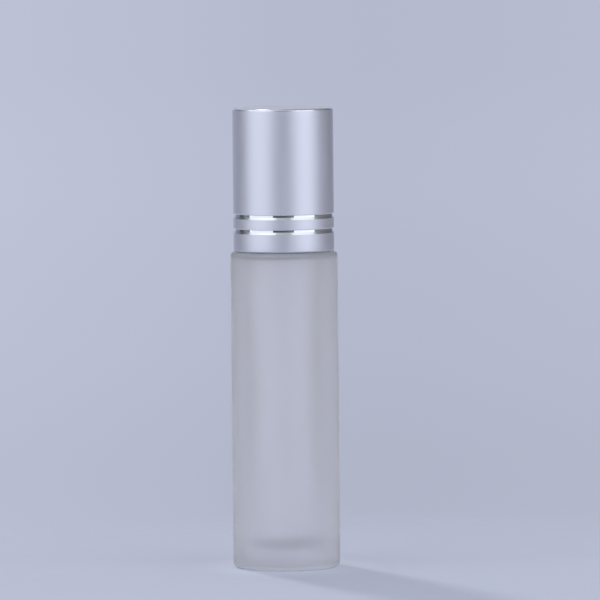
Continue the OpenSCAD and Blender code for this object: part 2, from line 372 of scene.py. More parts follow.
@dataclass
class Sheet:
    """A hand for laying out shader nodes.

    Attributes:
        tree: The node tree that the nodes go into.
    """

    tree: bpy.types.NodeTree

    @classmethod
    def fresh(cls, owner: bpy.types.ID) -> "Sheet":
        """Empties the node tree of a material or a world and opens it."""
        owner.use_nodes = True
        owner.node_tree.nodes.clear()
        return cls(owner.node_tree)

    def add(self, kind: str, values: Optional[dict] = None, **settings) -> bpy.types.Node:
        """Adds a node.

        Args:
            kind: Blender's type name of the node.
            values: What each input takes, by its name or number: a value or another's output.
            **settings: The node's own properties.

        Returns:
            The node.
        """
        node = self.tree.nodes.new(kind)
        for key, value in settings.items():
            setattr(node, key, value)
        for key, value in (values or {}).items():
            if isinstance(value, Socket):
                self.tree.links.new(value, node.inputs[key])
            else:
                node.inputs[key].default_value = value
        return node

    def math(self, operation: str, *values: Socket | float) -> Socket:
        """Adds a Math node and gives its result."""
        return self.add("ShaderNodeMath", dict(enumerate(values)), operation=operation).outputs[0]

    def scaled(self, colour: Socket | Colour, level: Socket | float) -> Socket:
        """Multiplies a colour by a level."""
        values = {0: colour, "Scale": level}
        return self.add("ShaderNodeVectorMath", values, operation="SCALE").outputs["Vector"]

    def place(self) -> Socket:
        """Gives the piece's own coordinates in metres."""
        return self.add("ShaderNodeTexCoord").outputs["Object"]

    def noise(self, grain: Grain) -> Socket:
        """Adds a noise over the piece and gives its value, about 0.5."""
        scale = 1 / (grain.size * MM)
        mapped = self.add(
            "ShaderNodeMapping",
            {"Vector": self.place(), "Scale": (scale, scale, scale / grain.stretch)},
        )
        values = {"Scale": 1.0, "Detail": grain.detail, "Roughness": grain.rough}
        values["Vector"] = mapped.outputs[0]
        return self.add("ShaderNodeTexNoise", values).outputs["Fac"]

    def between(
        self, share: Socket, low: float, high: float,
        first: float = NOISE_LOW, last: float = NOISE_HIGH,
    ) -> Socket:
        """Maps a share from first to last onto low to high, and holds it there."""
        values = {"From Min": first, "From Max": last, "To Min": low, "To Max": high}
        values["Value"] = share
        return self.add("ShaderNodeMapRange", values, clamp=True).outputs["Result"]

    def blend(self, share: Socket, low: Colour, high: Colour) -> Socket:
        """Blends two colours over the usual range of a noise."""
        return self.ramp(share, [(NOISE_LOW, low), (NOISE_HIGH, high)])

    def ramp(self, share: Socket, stops: Sequence[tuple[float, Colour]]) -> Socket:
        """Runs a share through colours at some of its values."""
        node = self.add("ShaderNodeValToRGB", {"Fac": share})
        elements = node.color_ramp.elements
        while len(elements) < len(stops):
            elements.new(0.5)
        for element, (position, colour) in zip(elements, stops):
            element.position = position
            element.color = (*colour, 1.0)
        return node.outputs["Color"]

    def mix(self, share: Socket, low: Socket | Colour, high: Socket | Colour) -> Socket:
        """Mixes two colours by a share."""
        values = {"Factor": share}
        for key, colour in ((MIX_LOW, low), (MIX_HIGH, high)):
            values[key] = colour if isinstance(colour, Socket) else (*colour, 1.0)
        return self.add("ShaderNodeMix", values, data_type="RGBA").outputs[MIX_RESULT]

    def curve(self, share: Socket, stops: Levels) -> Socket:
        """Runs a share through levels between 0 and 2 at some of its values, smoothly."""
        node = self.add("ShaderNodeFloatCurve", {"Value": share})
        points = node.mapping.curves[0].points
        while len(points) < len(stops):
            points.new(0.5, 0.5)
        for point, (position, level) in zip(points, stops):
            point.location = (position, level / 2)
        node.mapping.update()
        return self.math("MULTIPLY", node.outputs[0], 2.0)

    def bump(self, height: Socket, depth: float, strength: float = 1.0) -> Socket:
        """Adds a bump of a depth in millimetres."""
        values = {"Height": height, "Distance": depth * MM, "Strength": strength}
        return self.add("ShaderNodeBump", values).outputs["Normal"]


@dataclass(frozen=True)
class Finish:
    """What a surface is made of, and the marks that its making left.

    Attributes:
        name: Name of the material.
        colours: Colour at the low and at the high end of the marks.
        rough: Roughness at both ends.
        marks: The noise that colour and roughness follow.
        depth: Depth of the bump in millimetres, below zero where the marks stand out.
        strength: How strongly the bump shows.
        grain: The noise of the bump, or None where the marks make it.
    """

    name: str
    colours: tuple[Colour, Colour]
    rough: tuple[float, float]
    marks: Grain
    depth: float
    strength: float
    grain: Optional[Grain] = None

    def material(self) -> bpy.types.Material:
        """Makes the material, or gives the one that is there."""
        found = bpy.data.materials.get(self.name)
        if found is not None:
            return found
        made = bpy.data.materials.new(self.name)
        sheet = Sheet.fresh(made)
        shader = sheet.add("ShaderNodeBsdfPrincipled", self.inputs(sheet))
        sheet.add("ShaderNodeOutputMaterial", {"Surface": shader.outputs[0]})
        return made

    def pattern(self, sheet: Sheet) -> Socket:
        """Lays out the marks."""
        return sheet.noise(self.marks)

    def inputs(self, sheet: Sheet) -> dict:
        """Lays out the nodes that feed the shader.

        Args:
            sheet: The material's node sheet.

        Returns:
            What each input of the shader takes.
        """
        marks = self.pattern(sheet)
        height = sheet.noise(self.grain) if self.grain else marks
        return {
            "Base Color": sheet.blend(marks, *self.colours),
            "Roughness": sheet.between(marks, *self.rough),
            "Normal": sheet.bump(height, self.depth, self.strength),
        }


@dataclass(frozen=True)
class Glass(Finish):
    """Glass, clear or etched.

    Attributes:
        clear: Share of the light that goes through.
        painted_shade_ramps: Painted shade by height: two heights, and the tint's lightness at each.
    """

    clear: float = 1.0
    painted_shade_ramps: tuple[tuple[float, float, float, float], ...] = ()

    def inputs(self, sheet: Sheet) -> dict:
        """Paints shade into the tint by height and lets light through."""
        inputs = super().inputs(sheet)
        height = sheet.add("ShaderNodeSeparateXYZ", {"Vector": sheet.place()}).outputs["Z"]
        # Painted shade: darkens or lifts the tint between two heights
        for low_z, high_z, low, high in self.painted_shade_ramps:
            level = sheet.between(height, low, high, low_z * MM, high_z * MM)
            inputs["Base Color"] = sheet.scaled(inputs["Base Color"], level)
        return inputs | {"Transmission Weight": self.clear, "IOR": GLASS_IOR}


@dataclass(frozen=True)
class Metal(Finish):
    """Bare or anodised metal."""

    def inputs(self, sheet: Sheet) -> dict:
        """Makes the skin metallic."""
        return super().inputs(sheet) | {"Metallic": 1.0}


@dataclass(frozen=True)
class Plastic(Finish):
    """Plastic that lets some light into its skin.

    Attributes:
        inside: Share of the light that goes into the skin.
        reach: How far it goes, in millimetres.
    """

    inside: float = 0.5
    reach: float = 0.9

    def inputs(self, sheet: Sheet) -> dict:
        """Lets light into the skin, blue a little less far."""
        return super().inputs(sheet) | {
            "Subsurface Weight": self.inside,
            "Subsurface Radius": (self.reach, self.reach, self.reach * 0.9),
            "Subsurface Scale": MM,
            "IOR": PLASTIC_IOR,
        }


@dataclass(frozen=True)
class Foam(Plastic):
    """Fine closed-cell foam, with its cells standing out on the skin.

    Attributes:
        sheen: Share of the soft sheen.
    """

    sheen: float = 0.15

    def pattern(self, sheet: Sheet) -> Socket:
        """Lays out the cells."""
        values = {"Vector": sheet.place(), "Scale": 1 / (self.marks.size * MM)}
        return sheet.add("ShaderNodeTexVoronoi", values).outputs["Distance"]

    def inputs(self, sheet: Sheet) -> dict:
        """Adds the sheen."""
        return super().inputs(sheet) | {"Sheen Weight": self.sheen}


# Glass with an acid-etched skin, in faint clouds and a fine grain. Its tint is a little darker over
# the foot, painted shade darkens it under the cap at the shoulder, and the neck is lifted back near
# its own tint.
ETCHED_GLASS = Glass(
    "acid_etched_glass", ((0.975, 0.97, 0.98), (0.99, 0.985, 0.995)), (0.5, 0.54),
    Grain(4.0, 4.0, 2.5), 0.004, 0.5, Grain(0.35, 2.0), 0.88,
    # Painted shade by height: darker over the foot, darker under the cap, lifted again on the neck
    ((4.6, 6.5, 0.94, 1.0), (57.9, 59.1, 1.0, 0.56), (59.8, 61.2, 1.0, 1.65)),
)
# The bare glass of the bore and cavity, with the faint ripple of blown glass
MOULDED_GLASS = Glass(
    "moulded_glass", ((0.985, 0.985, 0.985), (1.0, 1.0, 1.0)), (0.05, 0.1),
    Grain(3.5, 2.0, 3.0), 0.03, 0.6,
)
# Aluminium etched matt and anodised in its natural silver, with faint bands from drawing the shell
SATIN = Metal(
    "satin_anodised_aluminium", ((0.85, 0.87, 0.96), (0.87, 0.89, 0.98)), (0.46, 0.5),
    Grain(2.2, 3.0, 6.0), 0.0015, 0.4, Grain(0.16, 2.0),
)
BURNISHED_EDGE = replace(SATIN, name="burnished_aluminium_edge", rough=(0.17, 0.21))
# Aluminium cut bright with a polished tool after anodising, with the tool's lines round the groove
BRIGHT_CUT = Metal(
    "bright_cut_aluminium", ((0.87, 0.89, 0.94), (0.9, 0.92, 0.97)), (0.05, 0.08),
    Grain(4.8, 2.0, 1 / 80, 0.5), 0.0004, 0.3,
)
# The lower flank of each groove: the same cut aluminium, rougher, with painted shade darkening its
# colour
SHADED_CUT_FLANK = replace(
    BRIGHT_CUT, name="shaded_bright_cut_flank", rough=(0.16, 0.22),
    colours=((0.72, 0.735, 0.775), (0.76, 0.775, 0.815)),
)
# The inside of the drawn shell, with lengthwise draw marks
DRAWN_INSIDE = Metal(
    "drawn_aluminium_inside", ((0.66, 0.67, 0.69), (0.76, 0.77, 0.79)), (0.28, 0.42),
    Grain(0.3, 3.0, 30.0), 0.003, 0.5,
)
# A ground and lapped steel ball, with the faintest tumbling marks
LAPPED_STEEL = Metal(
    "lapped_steel", ((0.68, 0.69, 0.7), (0.74, 0.745, 0.76)), (0.07, 0.12),
    Grain(0.5, 5.0), 0.0006, 0.3,
)
# Injection-moulded plastics, with flow clouds and the tool's spark-eroded grain
NATURAL_PLASTIC = Plastic(
    "natural_polyethylene", ((0.82, 0.83, 0.83), (0.88, 0.885, 0.885)), (0.36, 0.48),
    Grain(2.5), 0.004, 0.5, Grain(0.12, 2.0),
)
WHITE_PLASTIC = replace(
    NATURAL_PLASTIC, name="white_polypropylene", rough=(0.34, 0.44), inside=0.35, reach=0.6,
    colours=((0.84, 0.84, 0.83), (0.89, 0.89, 0.88)),
)
CELL_FOAM = Foam(
    "closed_cell_foam", ((0.88, 0.88, 0.86), (0.78, 0.78, 0.76)), (0.7, 0.9),
    Grain(0.22), -0.02, 0.6, inside=0.3, reach=0.5,
)


# ---- Pieces ----


@dataclass
class Piece(ABC):
    """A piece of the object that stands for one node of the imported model.

    Attributes:
        role: The node that it stands for, the body that it rides on and its finish's slot.
    """

    role: ClassVar[tuple[str, Body, Slot]]

    def place(self) -> None:
        """Builds the piece, seats it on its body and hides the node that it stands for."""
        piece = self.build()
        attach(piece, self.body().value)
        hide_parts(self.node())
        low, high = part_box(self.node())
        corners = np.array([tuple(v.co) for v in piece.data.vertices])
        out = [np.subtract(low, corners.min(0)), np.subtract(corners.max(0), high)]
        over, faces = max(0.0, np.max(out)) / MM, len(piece.data.polygons)
        LOG.info("%s: %d faces, at most %.3f mm outside its node's box", piece.name, faces, over)

    @abstractmethod
    def build(self) -> bpy.types.Object:
        """Builds the piece's mesh and dresses it."""

    def node(self) -> str:
        """Names the node that the piece stands for."""
        return self.role[0]

    def body(self) -> Body:
        """Names the body that the piece rides on."""
        return self.role[1]

    def slot(self) -> Slot:
        """Names the record's slot of the piece's finish."""
        return self.role[2]


class GlassSide(IntEnum):
    """The numbered finishes of the glass."""

    ETCHED = 0
    BARE = 1


@dataclass
class GlassBottle(Piece):
    """The thick glass bottle, as one skin from the hollow under its base to its inner floor."""

    role = ("bottle", Body.BOTTLE, Slot.GLASS)
    body_r: float = 10.0
    body_h: float = 58.4
    heel_r: float = 1.0
    foot_w: float = 1.8
    punt_h: float = 0.7
    shoulder_r: float = 0.85
    neck_r: float = 6.85
    neck_root_r: float = 0.6
    rim_z: float = 70.6
    rim_r: float = 0.35
    bore_r: float = 5.5025
    throat_r: float = 4.7025
    throat_z: float = 63.2
    throat_taper: float = 1.2
    throat_corner: float = 0.6
    cavity_top_z: float = 58.65
    inner_shoulder_r: float = 0.5
    cavity_r: float = 6.6
    taper_z: float = 22.6
    taper_corner: float = 60.0
    heel_cavity_r: float = 5.5
    floor_z: float = 3.6
    floor_r: float = 3.0
    ridge: ThreadRidge = ThreadRidge(6.85, 0.75, 1.8, 0.78, 63.1)
    # How far the cavity's axis wanders sideways at some heights, as in pressed and blown glass
    wander_z: tuple[float, ...] = (5.0, 13.3, 22.6, 32.0, 42.0, 50.6, 58.6)
    wander_x: tuple[float, ...] = (0.1, 0.2, -0.4, 0.0, -0.1, -0.45, 0.0)
    lobe_depth: float = 0.09
    # Share, number round, rise in one radian and shift of the waves that make the lobes
    waves: tuple[tuple[float, int, float, float], ...] = ((1.0, 2, 7.0, 0.0), (0.6, 3, -4.5, 1.0))

    def build(self) -> bpy.types.Object:
        """Turns the glass from its outline."""
        foot_r = self.body_r - self.heel_r
        ring_r = foot_r - self.foot_w
        shoulder_c = (self.body_r - self.shoulder_r, self.body_h)
        root_x = self.neck_r + self.neck_root_r
        reach = self.shoulder_r + self.neck_root_r
        root_turn = math.degrees(math.acos(max(0.0, root_x - shoulder_c[0]) / reach))
        root_z = self.body_h + reach * math.sin(math.radians(root_turn))
        skin = Turning("glass_bottle", even_columns(240))
        shares = np.linspace(0, 1, 25)
        skin.run([(ring_r * u, self.punt_h * (1 + math.cos(math.pi * u)) / 2) for u in shares])
        skin.run(arc((foot_r, self.heel_r), self.heel_r, -90, 0, steps=14))
        skin.run([(self.body_r, self.heel_r), (self.body_r, self.body_h)], step=2.0)
        skin.run(arc(shoulder_c, self.shoulder_r, 0, root_turn, steps=24))
        skin.run(arc((root_x, root_z), self.neck_root_r, 180 + root_turn, 180, steps=8))
        lip_z, lip_r, side = self.rim_z - self.rim_r, self.neck_r - self.rim_r, GlassSide.BARE
        skin.run([(self.neck_r, root_z), (self.neck_r, lip_z)], GlassSide.ETCHED, step=0.13)
        skin.run(arc((lip_r, lip_z), self.rim_r, 0, 90, steps=8))
        skin.run(arc((self.bore_r + self.rim_r, lip_z), self.rim_r, 90, 180, steps=8), side)
        floor_top, flat_r = self.floor_z + self.floor_r, self.heel_cavity_r - self.floor_r
        skin.run(rounded([
            (self.bore_r, lip_z, 0.0),
            (self.bore_r, self.throat_z + self.throat_taper, self.throat_corner),
            (self.throat_r, self.throat_z, self.throat_corner),
            (self.throat_r, self.cavity_top_z, self.inner_shoulder_r),
            (self.cavity_r, self.cavity_top_z, self.inner_shoulder_r),
            (self.cavity_r, self.taper_z, self.taper_corner),
            (self.heel_cavity_r, floor_top, 0.0),
        ], steps=10)[1:], side, step=1.0)
        skin.run(arc((flat_r, floor_top), self.floor_r, 0, -90, steps=18), side)
        skin.run([(flat_r, self.floor_z), (0.0, self.floor_z)], side, step=0.5)
        return skin.build([ETCHED_GLASS, MOULDED_GLASS], self.relief)

    def relief(self, radius: np.ndarray, height: np.ndarray, angle: np.ndarray) -> np.ndarray:
        """Adds the thread outside, and inside the uneven wall of pressed and blown glass."""
        above = (height > self.floor_z - TOUCH) & (height < self.cavity_top_z - TOUCH)
        inside = (radius <= self.cavity_r + TOUCH) & above
        share = np.clip(radius / self.heel_cavity_r, 0, 1)
        shift = np.interp(height, self.wander_z, self.wander_x)
        lobes = sum(w * np.sin(n * angle + height / rise + a) for w, n, rise, a in self.waves)
        changed = radius + share * (shift * np.cos(angle) + self.lobe_depth * lobes)
        ridged = self.ridge.relief(radius, height, angle)
        return np.where(inside, changed, ridged)


@dataclass
class RollerHousing(Piece):
    """The press-in plug that holds the ball: lip, collar, flange, sealing beads and bowl."""

    role = ("roller_housing", Body.BOTTLE, Slot.HOUSING)
    ball_z: float = 70.9
    cup_r: float = 4.8625
    wall: float = 0.64
    lip_h: float = 1.7
    lip_w: float = 0.55
    collar_drop: float = 0.7
    collar_slope: float = 0.35
    flange_r: float = 6.6
    rim_z: float = 70.6
    flange_t: float = 0.9
    plug_r: float = 5.4525
    bead_r: float = 5.4975
    bead_w: float = 0.7
    bead_z: tuple[float, ...] = (69.3, 67.8, 66.3)
    plug_z: float = 64.6
    lead_in: float = 0.35
    lead_h: float = 0.8
    bowl_angle: float = 52.0
    edge: float = 0.12
    # How far the flange's underside stands off the glass, so that no two faces share a plane
    seat: float = 0.012
    # Degrees from the end of the cup's round to its lip
    lip_gap: float = 1.5
    lip_edge: float = 0.06
    lip_corner: float = 0.22
    collar_corner: float = 0.3
    flange_corner: float = 0.28
    root_h: float = 0.4
    lead_corner: float = 0.5
    foot_corner: float = 0.15

    def build(self) -> bpy.types.Object:
        """Turns the housing from its outline."""
        lip_turn = math.asin(self.lip_h / self.cup_r)
        lip_r = self.cup_r * math.cos(lip_turn)
        lip_z = self.ball_z + self.lip_h
        collar_r = lip_r + self.lip_w + self.collar_slope
        flange_z = self.rim_z + self.flange_t
        skirt_r = self.plug_r - self.wall
        bowl_r = self.cup_r + self.wall
        skin = Turning("moulded_roller_housing", even_columns(180))
        centre, lip_end = (0.0, self.ball_z), math.degrees(lip_turn) - self.lip_gap
        skin.run(arc(centre, self.cup_r, -self.bowl_angle, lip_end, steps=36))
        skin.run(rounded([
            (lip_r + self.lip_edge / 3, lip_z - self.lip_edge, 0.0),
            (lip_r + self.lip_edge, lip_z, self.edge),
            (lip_r + self.lip_w, lip_z, self.lip_corner),
            (collar_r, lip_z - self.collar_drop, self.collar_corner),
            (collar_r, flange_z, self.edge),
            (self.flange_r, flange_z, self.flange_corner),
            (self.flange_r, self.rim_z + self.seat, self.edge),
            (self.plug_r, self.rim_z + self.seat, self.edge),
            (self.plug_r, self.rim_z - self.root_h, 0.0),
        ]))
        swell = self.bead_r - self.plug_r
        for z in self.bead_z:
            for u in np.linspace(0, 1, 9):
                bulge = swell * math.sin(math.pi * u)
                skin.run([(self.plug_r + bulge, z + self.bead_w * (0.5 - u))])
        skin.run(rounded([
            (self.plug_r, self.plug_z + 2 * self.lead_h, 0.0),
            (self.plug_r, self.plug_z + self.lead_h, self.lead_corner),
            (self.plug_r - self.lead_in, self.plug_z, self.foot_corner),
            (skirt_r - self.lead_in, self.plug_z, self.foot_corner),
            (skirt_r, self.plug_z + self.lead_h, self.lead_corner),
            (skirt_r, self.plug_z + 2 * self.lead_h, 0.0),
        ])[1:])
        start = -math.degrees(math.acos(skirt_r / bowl_r))
        skin.run(arc(centre, bowl_r, start, -self.bowl_angle, steps=8))
        return skin.build([NATURAL_PLASTIC], crease=50.0)


@dataclass
class RollerBall(Piece):
    """The steel ball, as an even skin of quads without poles."""

    role = ("roller_ball", Body.BALL, Slot.BALL)
    radius: float = 4.7625
    centre_z: float = 70.9
    cuts: int = 40

    def build(self) -> bpy.types.Object:
        """Swells the six sides of a cube onto the ball's radius."""
        turn = np.tan(np.linspace(-math.pi / 4, math.pi / 4, self.cuts + 1))
        across, up = np.meshgrid(turn, turn)
        flat = np.stack([across, up, np.ones_like(across)], 2).reshape(-1, 3)
        turns = ((0, "X"), (180, "X"), (90, "X"), (-90, "X"), (90, "Y"), (-90, "Y"))
        sides = [Matrix.Rotation(math.radians(angle), 3, axis) for angle, axis in turns]
        cells = self.cuts + 1
        vertices, faces = [], []
        for side in sides:
            first = len(vertices)
            turned = flat @ np.array(side).T
            turned *= self.radius / np.linalg.norm(turned, axis=1)[:, None]
            vertices += [tuple(v * MM) for v in turned + np.array([0, 0, self.centre_z])]
            for i in range(self.cuts):
                for j in range(self.cuts):
                    corner = first + i * cells + j
                    faces.append((corner, corner + 1, corner + cells + 1, corner + cells))
        numbers = [0] * len(faces)
        ball = finished("steel_roller_ball", vertices, faces, numbers, [LAPPED_STEEL], 60.0)
        joined = bmesh.new()
        joined.from_mesh(ball.data)
        bmesh.ops.remove_doubles(joined, verts=joined.verts, dist=SAME * MM)
        joined.to_mesh(ball.data)
        joined.free()
        return ball


@dataclass
class SealPad(Piece):
    """The loose foam disc over the ball, with soft edges and a dent where the ball presses."""

    role = ("seal_pad", Body.SEAL, Slot.PAD)
    radius: float = 4.6
    low_z: float = 75.7625
    thickness: float = 1.5
    edge: float = 0.4
    dent: float = 0.12
    dent_r: float = 1.5
    hem: float = 0.03

    def build(self) -> bpy.types.Object:
        high_z = self.low_z + self.thickness
        skin = Turning("foam_seal_pad", even_columns(96))
        flat_r = self.radius - self.edge
        for r in np.linspace(0, flat_r, 20):
            dent = self.dent * math.exp(-((r / self.dent_r) ** 2))
            skin.run([(r, self.low_z + dent + self.hem * (r / flat_r) ** 6)])
        skin.run(arc((flat_r, self.low_z + self.edge + self.hem), self.edge, -90, 0, steps=8))
        skin.run(arc((flat_r, high_z - self.edge), self.edge, 0, 90, steps=8))
        skin.run([(flat_r, high_z), (0.0, high_z)], step=0.6)
        pad = skin.build([CELL_FOAM])
        return pad


@dataclass
class CapLiner(Piece):
    """The threaded inner cap, with its grip ribs, crown, pad ring and the webs over the crown."""

    role = ("cap_liner", Body.CAP, Slot.LINER)
    radius: float = 8.75
    inner_r: float = 7.75
    low_z: float = 60.3
    top_z: float = 85.7
    crown_z: float = 77.2625
    crown_t: float = 1.2
    ring_r: float = 4.7
    ring_wall: float = 0.9
    ring_z: float = 75.3025
    lip_w: float = 0.3
    lip_h: float = 0.4
    lip_corner: float = 0.1
    corner: float = 0.5
    edge: float = 0.15
    fine_edge: float = 0.08
    ring_edge: float = 0.2
    ring_root: float = 0.25
    crown_root: float = 0.4
    mouth: float = 0.35
    rib_h: float = 0.265
    rib_w: float = 0.6
    rib_count: int = 24
    rib_edge: float = 0.1
    web_t: float = 0.9
    web_root: float = 0.3
    web_drop: float = 0.02
    web_edge: float = 0.12
    ridge: ThreadRidge = ThreadRidge(7.75, -0.75, 1.5, 0.66, 62.352, 60.0)

    def build(self) -> bpy.types.Object:
        """Turns the liner and joins the webs to it."""
        skin = Turning("threaded_cap_liner", self._columns())
        outer_ring = self.ring_r + self.ring_wall
        skin.run(rounded([
            (0.0, self.crown_z, 0.0),
            (self.ring_r, self.crown_z, self.edge),
            (self.ring_r, self.ring_z + self.lip_h, self.lip_corner),
            (self.ring_r - self.lip_w, self.ring_z + self.lip_h / 2, self.lip_corner),
            (self.ring_r, self.ring_z, self.fine_edge),
            (outer_ring, self.ring_z, self.ring_edge),
            (outer_ring, self.crown_z, self.ring_root),
            (self.inner_r, self.crown_z, self.corner),
            (self.inner_r, self.crown_z - 2 * self.corner, 0.0),
        ]))
        mouth_z = self.low_z + self.mouth
        inner_top = self.crown_z - 2 * self.corner
        skin.run([(self.inner_r, inner_top), (self.inner_r, mouth_z)], step=0.14)
        skin.run(rounded([
            (self.inner_r, mouth_z, 0.0),
            (self.inner_r + self.mouth, self.low_z, self.fine_edge),
            (self.radius, self.low_z, self.edge),
            (self.radius, self.low_z + self.rib_w - self.rib_edge, 0.0),
        ]))
        skin.run([(self.radius, z) for z in self._rib_heights()])
        skin.run(rounded([
            (self.radius, self.top_z - self.rib_w + self.rib_edge, 0.0),
            (self.radius, self.top_z, self.edge),
            (self.inner_r, self.top_z, self.edge),
            (self.inner_r, self.crown_z + self.crown_t, self.crown_root),
            (0.0, self.crown_z + self.crown_t, 0.0),
        ]))
        liner = skin.build([WHITE_PLASTIC], self.relief, crease=45.0)
        self._add_webs(liner)
        return liner

    def relief(self, radius: np.ndarray, height: np.ndarray, angle: np.ndarray) -> np.ndarray:
        """Adds the thread inside and the grip ribs outside."""
        below_crown = height < self.crown_z - self.corner
        threaded = np.where(below_crown, self.ridge.relief(radius, height, angle), radius)
        pitch = 2 * math.pi / self.rib_count
        off = np.abs((angle + pitch / 2) % pitch - pitch / 2) * self.radius
        across = smooth((self.rib_w / 2 - off) / self.rib_edge + 0.5)
        heights = self._rib_heights()
        along = (height > heights[0] + TOUCH) & (height < heights[-1] - TOUCH)
        on_outside = (np.abs(radius - self.radius) < TOUCH) & along
        return np.where(on_outside, self.radius + self.rib_h * across, threaded)

    def _columns(self) -> np.ndarray:
        """Gives columns that fall on the edges of the ribs."""
        pitch = 360 / self.rib_count
        edge = math.degrees(self.rib_w / 2 / self.radius)
        soft = math.degrees(self.rib_edge / 2 / self.radius)
        near = [-edge - soft, -edge, -edge + soft, 0.0, edge - soft, edge, edge + soft]
        gap = pitch - 2 * (edge + soft)
        offsets = near + [edge + soft + gap * i / 5 for i in range(1, 5)]
        columns = [k * pitch + offset for k in range(self.rib_count) for offset in offsets]
        return np.radians(np.array(columns))

    def _rib_heights(self) -> list[float]:
        """Gives the heights of the rows at the ribs' ends and along them."""
        low, high, soft = self.low_z + self.rib_w, self.top_z - self.rib_w, self.rib_edge
        plain = np.linspace(low + 4, high - 4, 4)
        return [low - soft, low, low + soft, *plain, high - soft, high, high + soft]

    def _add_webs(self, liner: bpy.types.Object) -> None:
        """Joins the cross of webs over the crown to the liner's mesh.

        Args:
            liner: The liner's object.
        """
        half, reach, corner = self.web_t / 2, self.inner_r + self.web_root, self.web_root
        quarter = [(reach, -half), (reach, half), (half + corner, half), (half, half + corner)]
        outline = [
            (x * math.cos(t) - y * math.sin(t), x * math.sin(t) + y * math.cos(t))
            for t in (k * math.pi / 2 for k in range(4))
            for x, y in quarter
        ]
        low, high = self.crown_z + self.crown_t / 2, self.top_z - self.web_drop
        shape = bmesh.new()
        shape.from_mesh(liner.data)
        lower = [shape.verts.new((x * MM, y * MM, low * MM)) for x, y in outline]
        upper = [shape.verts.new((x * MM, y * MM, high * MM)) for x, y in outline]
        shape.faces.new(lower[::-1])
        lid = shape.faces.new(upper)
        for i in range(len(outline)):
            j = (i + 1) % len(outline)
            shape.faces.new((lower[i], lower[j], upper[j], upper[i]))
        bmesh.ops.bevel(
            shape, geom=list(lid.edges), offset=self.web_edge * MM, segments=3, affect="EDGES",
            clamp_overlap=True,
        )
        shape.to_mesh(liner.data)
        shape.free()
        liner.data.update()


class ShellSide(IntEnum):
    """The numbered finishes of the metal shell."""

    SATIN = 0
    CUT = 1
    CUT_LOW = 2
    INSIDE = 3
    EDGE = 4


@dataclass
class CapShell(Piece):
    """The drawn aluminium shell, with a rounded top edge, two bright-cut grooves and its rim."""

    role = ("cap_shell", Body.CAP, Slot.SHELL)
    radius: float = 9.425
    wall: float = 0.4
    low_z: float = 59.4
    top_z: float = 86.1
    edge_r: float = 0.35
    groove_z: tuple[float, ...] = (66.0, 63.25)
    groove_depth: float = 0.14
    # Distances from the groove's middle to its upper edge, core's top, core's foot and lower edge
    groove_marks: tuple[float, ...] = (0.475, 0.355, -0.025, -0.475)
    inner_corner: float = 0.25
    rim_r: float = 0.3

    def build(self) -> bpy.types.Object:
        """Turns the shell from its outline."""
        skin = Turning("aluminium_cap_shell", even_columns(240))
        flat_r = self.radius - self.edge_r
        skin.run([(0.0, self.top_z), (flat_r, self.top_z)], ShellSide.SATIN, step=0.8)
        height = self.top_z - self.edge_r
        skin.run(arc((flat_r, height), self.edge_r, 90, 0, steps=12), ShellSide.EDGE)
        deep_r = self.radius - self.groove_depth
        for z in self.groove_z:
            upper, core_top, core_foot, lower = (z + mark for mark in self.groove_marks)
            skin.run([(self.radius, height), (self.radius, upper)], ShellSide.SATIN, step=2.0)
            skin.run([(self.radius, upper), (deep_r, core_top)], ShellSide.CUT)
            skin.run([(deep_r, core_top), (deep_r, core_foot)], ShellSide.CUT, step=0.1)
            skin.run([(deep_r, core_foot), (self.radius, lower)], ShellSide.CUT_LOW, step=0.12)
            height = lower
        inner_r, inner_z = self.radius - self.wall, self.top_z - self.wall
        rim_z = self.low_z + self.rim_r
        skin.run([(self.radius, height), (self.radius, rim_z)], ShellSide.SATIN, step=2.0)
        skin.run(arc((self.radius - self.rim_r, rim_z), self.rim_r, 0, -90, steps=8))
        skin.run([(inner_r, self.low_z), (inner_r, self.low_z + self.wall)])
        skin.run(rounded([
            (inner_r, self.low_z + self.wall, 0.0),
            (inner_r, inner_z, self.inner_corner),
            (0.0, inner_z, 0.0),
        ]), ShellSide.INSIDE)
        finishes = [SATIN, BRIGHT_CUT, SHADED_CUT_FLANK, DRAWN_INSIDE, BURNISHED_EDGE]
        return skin.build(finishes, crease=12.0)


# ---- Studio ----


# The colours of the softboxes and of the lamps behind
SKY: Colour = (0.91, 0.93, 1.0)
SUN: Colour = (1.0, 0.985, 0.95)


